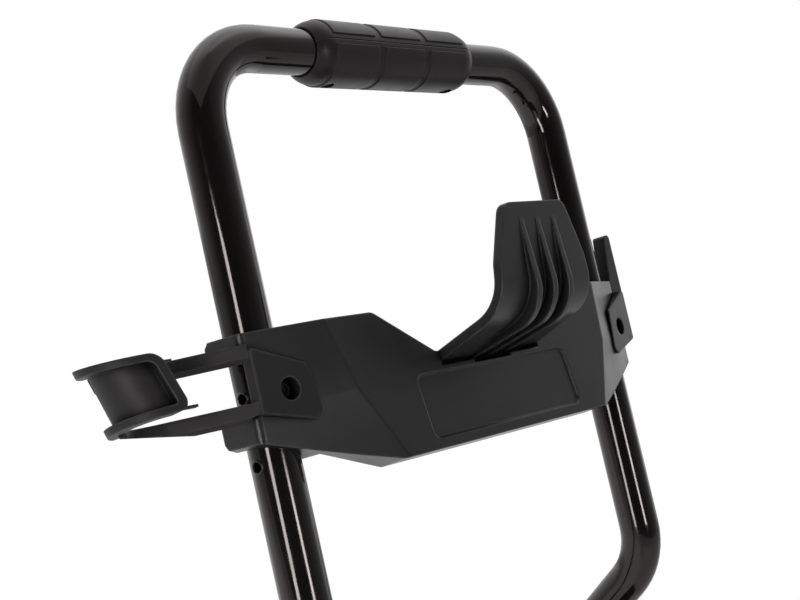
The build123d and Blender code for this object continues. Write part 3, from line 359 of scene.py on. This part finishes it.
zinc = metal(
    "bright_zinc",
    dark=(0.47, 0.48, 0.5),
    light=(0.6, 0.61, 0.63),
    worn_and_highlit=(0.72, 0.73, 0.74),
    metallic=1.0,
    rough=(0.22, 0.4),
)
oxide = metal(
    "black_oxide",
    dark=(0.010, 0.010, 0.011),
    light=(0.03, 0.03, 0.031),
    worn_and_highlit=(0.09, 0.09, 0.09),
    metallic=0.6,
    rough=(0.22, 0.36),
)

# %% [markdown]
# ## Materials on the nodes
# The record names a material slot for every node, so a table from slot to look dresses
# them all. The lance holder is moulded in a duller plastic than the bracket, so it gets a
# look of its own.

# %% Put the materials on the nodes
looks = {
    "frame_paint": paint,
    "grip_plastic": grip_skin,
    "moulding": moulding,
    "black_screw": oxide,
    "zinc_steel": zinc,
    "foot_rubber": rubber,
    "tyre": tyre,
    "rim_plastic": rim_plastic,
    "bush_plastic": nylon,
}
for entry in frame["record"]["subparts"]:
    node = nodes[entry["node"]]
    node.data.materials.clear()
    node.data.materials.append(looks[entry["material_slot"]])
nodes["gun_holder"].data.materials[0] = holder_moulding

# %% [markdown]
# ## Screws
# The grip, bracket, deck and feet are held by pan-head screws with a cross recess, and the
# two holders by socket bolts that end in low sleeve nuts behind the tubes. A screw is a
# turned thing, so each is one closed form made of rings, from the floor of its recess over
# the head and down the shank. The recess rings follow a cross or a hexagon instead of a
# circle, which gives a real recess without cutting one solid from another. Their places
# are measured on the plain screws of the frame, which they replace.


# %% Pieces
def new_piece(name, mesh_data, material, body="trolley", sharp_degrees=35.0):
    bmesh.ops.recalc_face_normals(mesh_data, faces=mesh_data.faces)
    mesh = bpy.data.meshes.new(name)
    mesh_data.to_mesh(mesh)
    mesh_data.free()
    mesh.shade_smooth()
    mesh.set_sharp_from_angle(angle=math.radians(sharp_degrees))
    mesh.materials.append(material)
    return placed(name, mesh, body)


def placed(name, mesh, body="trolley"):
    piece = bpy.data.objects.new(name, mesh)
    scene.collection.objects.link(piece)
    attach(piece, body)
    print("piece", name, len(mesh.polygons), "faces")
    return piece


# %% Places
def merged_copy(node, gap=1e-6):
    """A copy of a node's mesh with its seams closed."""
    copy = bmesh.new()
    copy.from_mesh(nodes[node].data)
    bmesh.ops.remove_doubles(copy, verts=copy.verts, dist=gap)
    return copy


def islands(node):
    """The loose islands of a node, each as a list of points."""
    copy = merged_copy(node)
    seen = set()
    found = []
    for start in copy.verts:
        if start in seen:
            continue
        seen.add(start)
        island = [start]
        for point in island:
            for edge in point.link_edges:
                other = edge.other_vert(point)
                if other not in seen:
                    seen.add(other)
                    island.append(other)
        found.append([point.co.copy() for point in island])
    copy.free()
    return found


def screw_line(points, axis):
    """Middle line of a round island: its top along the axis, and its length."""
    side = axis.orthogonal().normalized()
    heights = [p.dot(axis) for p in points]
    top = axis * max(heights)
    for across in (side, axis.cross(side)):
        reach = [p.dot(across) for p in points]
        top += across * (max(reach) + min(reach)) / 2
    return top, max(heights) - min(heights)


# %% Recess outlines
def cross_reach(reach, half_width):
    """From the middle to the outline of a cross, as a function of the turn."""

    def outline(turn):
        fold = abs((turn + math.pi / 4) % (math.pi / 2) - math.pi / 4)
        return min(reach / math.cos(fold), half_width / max(math.sin(fold), 1e-6))

    return outline


def hexagon_reach(across):
    """From the middle to the outline of a hexagon, as a function of the turn."""

    def outline(turn):
        fold = (turn + math.pi / 6) % (math.pi / 3) - math.pi / 6
        return across / 2 / math.cos(fold)

    return outline


def scaled(outline, share):
    return lambda turn: outline(turn) * share


# %% Turned forms
def turned(mesh_data, place, axis, rings, spokes=48):
    """Adds one closed turned form. A ring is (reach, height); the reach is a length or an outline."""
    side = axis.orthogonal().normalized()
    other = axis.cross(side)
    loops = []
    for reach, height in rings:
        loop = []
        for step in range(spokes):
            turn = 2 * math.pi * step / spokes
            length = reach(turn) if callable(reach) else reach
            arm = side * math.cos(turn) + other * math.sin(turn)
            loop.append(mesh_data.verts.new(place + axis * height + arm * length))
        loops.append(loop)
    for inner, outer in zip(loops, loops[1:]):
        for step in range(spokes):
            after = (step + 1) % spokes
            mesh_data.faces.new((inner[step], inner[after], outer[after], outer[step]))
    mesh_data.faces.new(loops[0])
    mesh_data.faces.new(loops[-1])


def head_rings(recess, depth, radius, height):
    """From the recess floor over a rounded head to its seat, heights from the seat."""
    return [
        (scaled(recess, 0.72), height - depth),
        (recess, height),
        (0.74 * radius, height),
        (0.9 * radius, 0.87 * height),
        (0.98 * radius, 0.62 * height),
        (radius, 0.3 * height),
        (radius, 0.0),
    ]


# %% Directions of the leaning handle
lean = math.radians(16.75)
along = Vector((0.0, math.sin(lean), math.cos(lean)))
forward = Vector((0.0, -math.cos(lean), math.sin(lean)))
up = Vector((0.0, 0.0, 1.0))
handle_top = Vector((0.0, 0.12772, 0.905))
print("the legs run along", tuple(round(v, 3) for v in along))

# %% Cross-head screws
screw_head = 0.0026
cross, cross_depth = cross_reach(0.0021, 0.0006), 0.0014
small, large = (0.0037, 0.0016), (0.0045, 0.002)
screw_kinds = [
    ("grip_screws", -along, small, oxide, "black_screw"),
    ("bracket_screws", -forward, small, oxide, "black_screw"),
    ("deck_screws", up, large, zinc, "zinc_steel"),
    ("foot_screws", -up, large, zinc, "zinc_steel"),
]
for node, axis, (head_radius, shank), material, slot in screw_kinds:
    screws = bmesh.new()
    for points in islands(node):
        top, length = screw_line(points, axis)
        rings = head_rings(cross, cross_depth, head_radius, screw_head)
        rings += [(shank, 0.0), (shank, screw_head - length)]
        turned(screws, top - axis * screw_head, axis, rings)
    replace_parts(new_piece(node.replace("screws", "cross_screws"), screws, material), node)

# %% Socket bolts of the holders
tube_radius = 0.014
bolt_head, bolt_radius, bolt_shank, bolt_length = 0.003, 0.005, 0.003, 0.026
bolt_socket, bolt_socket_depth = hexagon_reach(0.005), 0.0018
sleeve_head, sleeve_radius, sleeve_length = 0.0019, 0.0048, 0.006
sleeve_socket, sleeve_socket_depth = hexagon_reach(0.004), 0.001
seat_to_axis, sleeve_sink = 0.0156, 0.0009
bolts = bmesh.new()
for points in islands("holder_bolts"):
    top, _ = screw_line(points, forward)
    seat = top - forward * bolt_head
    rings = head_rings(bolt_socket, bolt_socket_depth, bolt_radius, bolt_head)
    rings += [(bolt_shank, 0.0), (bolt_shank, -bolt_length)]
    turned(bolts, seat, forward, rings)
    back = seat - forward * (seat_to_axis + tube_radius - sleeve_sink)
    rings = head_rings(sleeve_socket, sleeve_socket_depth, sleeve_radius, sleeve_head)
    rings += [(bolt_shank, 0.0), (bolt_shank, -sleeve_length)]
    turned(bolts, back, -forward, rings)
holder_fixings = new_piece("holder_socket_bolts", bolts, oxide)
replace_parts(holder_fixings, "holder_bolts", "holder_nuts")

# %% [markdown]
# ## Rear half of the bracket
# In the photo the white background shows between the holder's arms right up to the tube,
# so nothing of the rear half stands out behind the tube there. The piece is a copy of the
# solid with its two wings cut back to a short stub beside the tray and the cuts closed.
# A cut copy loses the smooth shading of the solid, so that is looked up again face by face.


# %% Shading of a cut copy
def keep_normals(mesh, node, tiny=1e-5, same_way=0.99):
    """Gives a cut copy the shading normals of the solid that it was cut from."""
    source = nodes[node].data
    tree = BVHTree.FromPolygons([v.co for v in source.vertices], [p.vertices[:] for p in source.polygons])
    ways = [corner.vector.copy() for corner in mesh.corner_normals]
    for face in mesh.polygons:
        _, _, index, gap = tree.find_nearest(face.center)
        model = source.polygons[index]
        if gap > tiny or model.normal.dot(face.normal) < same_way:
            continue
        for corner in face.loop_indices:
            place = mesh.vertices[mesh.loops[corner].vertex_index].co
            nearest = min(
                model.loop_indices,
                key=lambda c: (source.vertices[source.loops[c].vertex_index].co - place).length,
            )
            ways[corner] = source.corner_normals[nearest].vector
    mesh.normals_split_custom_set(ways)


# %% Bracket back
wing_stub = 0.1565
rear = merged_copy("hook_bracket")
for side in (-1.0, 1.0):
    cut = bmesh.ops.bisect_plane(
        rear,
        geom=rear.verts[:] + rear.edges[:] + rear.faces[:],
        dist=1e-6,
        plane_co=(side * wing_stub, 0, 0),
        plane_no=(side, 0, 0),
        clear_outer=True,
    )
    cut_edges = [part for part in cut["geom_cut"] if isinstance(part, bmesh.types.BMEdge)]
    bmesh.ops.edgenet_fill(rear, edges=cut_edges)
bracket_back = new_piece("bracket_back", rear, moulding)
keep_normals(bracket_back.data, "hook_bracket")
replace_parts(bracket_back, "hook_bracket")

# %% [markdown]
# ## Front cover
# The lips that run round the tubes end in rounded corners at the back. The copy of the
# cover gets a real bevel on those four edges alone, the ones that run across at the rear
# of each lip, and keeps the solid's own shading everywhere else.

# %% Front cover
lip_inside, lip_rear, upper_lip, lower_lip = 0.175, -0.0155, -0.1705, -0.2195
sharp_turn, crosswise = 0.6, 0.9
corner_size, corner_steps = 0.0032, 5
cover = merged_copy("front_cover")
lip_corners = []
for edge in cover.edges:
    ends = [point.co for point in edge.verts]
    heights = [(end - handle_top).dot(along) for end in ends]
    on_lip = min(abs(end.x) for end in ends) > lip_inside
    at_rear = max((end - handle_top).dot(forward) for end in ends) < lip_rear
    outer = min(heights) > upper_lip or max(heights) < lower_lip
    across = abs(ends[1].x - ends[0].x) > crosswise * edge.calc_length()
    if on_lip and at_rear and outer and across and edge.calc_face_angle(0.0) > sharp_turn:
        lip_corners.append(edge)
bmesh.ops.bevel(
    cover,
    geom=lip_corners,
    offset=corner_size,
    segments=corner_steps,
    profile=0.5,
    affect="EDGES",
    clamp_overlap=True,
)
print("rounded", len(lip_corners), "corner edges")
cover_front = new_piece("cover_front", cover, moulding)
keep_normals(cover_front.data, "front_cover")
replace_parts(cover_front, "front_cover")

# %% [markdown]
# ## Lance holder
# In the photo the upper arm runs right up against the lip of the cover above it. The solid
# keeps two millimetres of air there, so the copy that stands for it has the top of that
# arm raised. Only the points of the arm's top face move, along the leaning tube.

# %% Lance holder
arm_top, arm_lift, arm_reach, same_height = -0.173, 0.002, -0.232, 0.0001
holder_mesh = nodes["gun_holder"].data.copy()
raised = 0
for point in holder_mesh.vertices:
    height = (point.co - handle_top).dot(along)
    if abs(height - arm_top) < same_height and point.co.x > arm_reach:
        point.co += along * arm_lift
        raised += 1
lance_holder = placed("lance_holder", holder_mesh)
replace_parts(lance_holder, "gun_holder")
print("raised", raised, "points")

# %% [markdown]
# ## Welds and drilled holes
# The coped ends of the brace are welded to the posts all round. A bead follows the line
# where the two tubes meet, which a formula gives, and swells a little with every ripple
# that the welder's hand leaves. The drilled holes in the handle have a small rolled edge,
# a thin ring on the line where drill and tube meet. Both are painted with the frame.


# %% Rings along a line
def swept_ring(mesh_data, line, steps, sides, radius):
    """A closed ring swept along a line. The line gives a place and two directions for each turn."""
    loops = []
    for step in range(steps):
        turn = 2 * math.pi * step / steps
        middle, outward, sideways = line(turn)
        loop = []
        for corner in range(sides):
            angle = 2 * math.pi * corner / sides
            arm = outward * math.cos(angle) + sideways * math.sin(angle)
            loop.append(mesh_data.verts.new(middle + arm * radius(turn)))
        loops.append(loop)
    for step, this in enumerate(loops):
        after = loops[(step + 1) % steps]
        for corner in range(sides):
            beside = (corner + 1) % sides
            mesh_data.faces.new((this[corner], this[beside], after[beside], after[corner]))


# %% Weld beads
brace_low, brace_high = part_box("cross_brace")
brace_middle = (brace_low + brace_high) / 2
brace_radius = (brace_high.z - brace_low.z) / 2
leg_axis = 0.167
bead, ripple, ripples = 0.0021, 0.16, 22


def weld_line(side):
    def line(turn):
        across, upward = brace_radius * math.cos(turn), brace_radius * math.sin(turn)
        reach = leg_axis - math.sqrt(tube_radius**2 - across**2)
        middle = Vector((side * reach, brace_middle.y + across, brace_middle.z + upward))
        return middle, Vector((0.0, math.cos(turn), math.sin(turn))), Vector((-side, 0.0, 0.0))

    return line


def bead_radius(turn):
    return bead * (1.0 + ripple * abs(math.sin(ripples * turn / 2)))


welds = bmesh.new()
for side in (-1.0, 1.0):
    swept_ring(welds, weld_line(side), steps=176, sides=10, radius=bead_radius)
new_piece("brace_welds", welds, paint, sharp_degrees=60.0)

# %% Hole edges
hole_radius, hole_roll = 0.0035, 0.0007
hole_heights = (-0.1984, -0.2353)


def hole_line(side, height):
    def line(turn):
        ahead, upward = hole_radius * math.cos(turn), hole_radius * math.sin(turn)
        middle = handle_top + along * (height + upward) + forward * ahead
        middle.x = side * (leg_axis + math.sqrt(tube_radius**2 - ahead**2))
        return middle, forward * math.cos(turn) + along * math.sin(turn), Vector((side, 0.0, 0.0))

    return line


rolled = bmesh.new()
for side in (-1.0, 1.0):
    for height in hole_heights:
        swept_ring(rolled, hole_line(side, height), steps=48, sides=8, radius=lambda turn: hole_roll)
new_piece("hole_edges", rolled, paint, sharp_degrees=60.0)

# %% [markdown]
# ## Floor
# A product like this stands on a white sweep of paper. The floor is pale and keeps the
# trolley's shadow; to the camera it turns to plain white about a metre away. The glossy
# tubes mirror the floor too, and there it counts as lit, except for the stretch of sweep
# under and behind the trolley, which is white in the mirror as well.


# %% Light paths
def seen_directly(material):
    """One for rays from the camera, also through something clear; zero for all others."""
    rays = add_node(material, "ShaderNodeLightPath")
    return larger(material, rays.outputs["Is Camera Ray"], rays.outputs["Is Transmission Ray"])


# %% Floor
floor_reach = 6.0
white_from, white_at = 0.45, 1.1
sweep_azimuth, sweep_front, sweep_back = math.radians(115.0), -0.35, 0.05
sweep_fades, sweep_ends = 2.2, 3.2
floor_mesh = bpy.data.meshes.new("floor")
floor_corners = [(x * floor_reach, y * floor_reach, 0) for x, y in ((-1, -1), (1, -1), (1, 1), (-1, 1))]
floor_mesh.from_pydata(floor_corners, [], [(0, 1, 2, 3)])
floor = bpy.data.objects.new("floor", floor_mesh)
scene.collection.objects.link(floor)
floor_look, floor_shader = new_material("pale_floor", colour=(0.86, 0.86, 0.86), roughness=0.8)
floor_mesh.materials.append(floor_look)
print("floor", floor.name)

# %% Where the floor is white
floor_place = add_node(floor_look, "ShaderNodeTexCoord").outputs["Object"]
distance = add_node(floor_look, "ShaderNodeVectorMath", operation="LENGTH")
link(floor_look, floor_place, distance.inputs[0])
fade = add_node(floor_look, "ShaderNodeMapRange", interpolation_type="SMOOTHSTEP")
fade.inputs["From Min"].default_value = white_from
fade.inputs["From Max"].default_value = white_at
link(floor_look, distance.outputs["Value"], fade.inputs["Value"])
behind = add_node(floor_look, "ShaderNodeVectorMath", operation="DOT_PRODUCT")
behind.inputs[1].default_value = (math.cos(sweep_azimuth), math.sin(sweep_azimuth), 0.0)
link(floor_look, floor_place, behind.inputs[0])
sweep = times(
    floor_look,
    spread(floor_look, behind.outputs["Value"], 0.0, 1.0, sweep_front, sweep_back),
    spread(floor_look, distance.outputs["Value"], 1.0, 0.0, sweep_fades, sweep_ends),
)
mirrored = add_node(floor_look, "ShaderNodeLightPath").outputs["Is Glossy Ray"]
white_share = larger(
    floor_look,
    times(floor_look, seen_directly(floor_look), fade.outputs["Result"]),
    times(floor_look, mirrored, sweep),
)
print("white from", white_from, "to", white_at, "m")

# %% Floor shader
white = add_node(floor_look, "ShaderNodeEmission", Strength=1.0)
white.inputs["Color"].default_value = (1.0, 1.0, 1.0, 1.0)
floor_mix = add_node(floor_look, "ShaderNodeMixShader")
link(floor_look, white_share, floor_mix.inputs[0])
link(floor_look, floor_shader.outputs["BSDF"], floor_mix.inputs[1])
link(floor_look, white.outputs["Emission"], floor_mix.inputs[2])
link(floor_look, floor_mix.outputs["Shader"], floor_look.node_tree.nodes["Material Output"].inputs["Surface"])
print("made", floor_look.name)

# %% [markdown]
# ## Surround
# To the camera the surround is plain white. As a light it is white behind the trolley and
# to its right, and dim on the camera's side, the way a product is lit against a white
# sweep. The black surfaces mirror it, so these steps set most of the tones of the picture.
# The list gives brightness by compass degrees, which run anticlockwise, seen from above,
# from the direction behind the trolley on the right.

# %% Brightness round the compass
wall = [(0, 1.0), (50, 1.0), (82, 0.62), (94, 0.46), (106, 0.34), (116, 0.22), (126, 0.13), (138, 0.04)]
wall += [(170, 0.03), (200, 0.04), (225, 0.08), (240, 0.15), (255, 0.2), (270, 0.28), (285, 0.4), (297, 0.6)]
wall += [(308, 1.0), (320, 1.3), (335, 1.3), (360, 1.0)]
compass_turn = math.radians(-225.0)
world = bpy.data.worlds.new("studio_surround")
world.use_nodes = True
scene.world = world
compass = add_node(world, "ShaderNodeMapping", vector_type="POINT")
compass.inputs["Rotation"].default_value = (0.0, 0.0, compass_turn)
link(world, add_node(world, "ShaderNodeTexCoord").outputs["Generated"], compass.inputs["Vector"])
parts = add_node(world, "ShaderNodeSeparateXYZ")
link(world, compass.outputs["Vector"], parts.inputs["Vector"])
angle = add_node(world, "ShaderNodeMath", operation="ARCTAN2")
link(world, parts.outputs["Y"], angle.inputs[0])
link(world, parts.outputs["X"], angle.inputs[1])
ramp = add_node(world, "ShaderNodeValToRGB")
stops = ramp.color_ramp.elements
while len(stops) < len(wall):
    stops.new(0.5)
for stop, (degrees, tone) in zip(stops, wall):
    stop.position = degrees / 360.0
    stop.color = (tone, tone, tone, 1.0)
link(world, spread(world, angle.outputs["Value"], 0.0, 1.0, -math.pi, math.pi), ramp.inputs["Fac"])
print("surround with", len(stops), "stops")

# %% White for the camera
studio = world.node_tree.nodes["Background"]
studio.inputs["Strength"].default_value = 1.0
link(world, ramp.outputs["Color"], studio.inputs["Color"])
plain_white = add_node(world, "ShaderNodeBackground", Strength=1.0)
plain_white.inputs["Color"].default_value = (1.0, 1.0, 1.0, 1.0)
blend = add_node(world, "ShaderNodeMixShader")
link(world, seen_directly(world), blend.inputs[0])
link(world, studio.outputs["Background"], blend.inputs[1])
link(world, plain_white.outputs["Background"], blend.inputs[2])
link(world, blend.outputs["Shader"], world.node_tree.nodes["World Output"].inputs["Surface"])
print("surround", world.name)

# %% [markdown]
# ## Lamps
# A tall narrow softbox left of the camera and a small one far in front draw the two bright
# streaks along each tube, and a wide one overhead lights the tops. Streaks in gloss paint
# are mirror images of the lamps, so their size and place matter more than their power.


# %% Lamps
def softbox(name, place, target, width, height, power):
    data = bpy.data.lights.new(name, "AREA")
    data.shape = "RECTANGLE"
    data.size = width
    data.size_y = height
    data.energy = power
    lamp = bpy.data.objects.new(name, data)
    lamp.location = place
    lamp.rotation_euler = (Vector(target) - Vector(place)).to_track_quat("-Z", "Y").to_euler()
    lamp.visible_camera = False
    scene.collection.objects.link(lamp)
    print("lamp", name)


softbox("left_box", (-1.295, -0.34, 0.81), (-0.1, 0.07, 0.8), width=0.24, height=0.68, power=6.4)
softbox("front_box", (-0.39, -2.1, 1.05), (0.0, 0.07, 0.65), width=0.34, height=0.45, power=8.0)
softbox("overhead", (0.0, 0.1, 2.6), (0.0, 0.1, 0.7), width=3.6, height=3.0, power=14.0)

# %% [markdown]
# ## Finish
# The view settings stay plain.

# %% Finish
scene.view_settings.view_transform = "Standard"
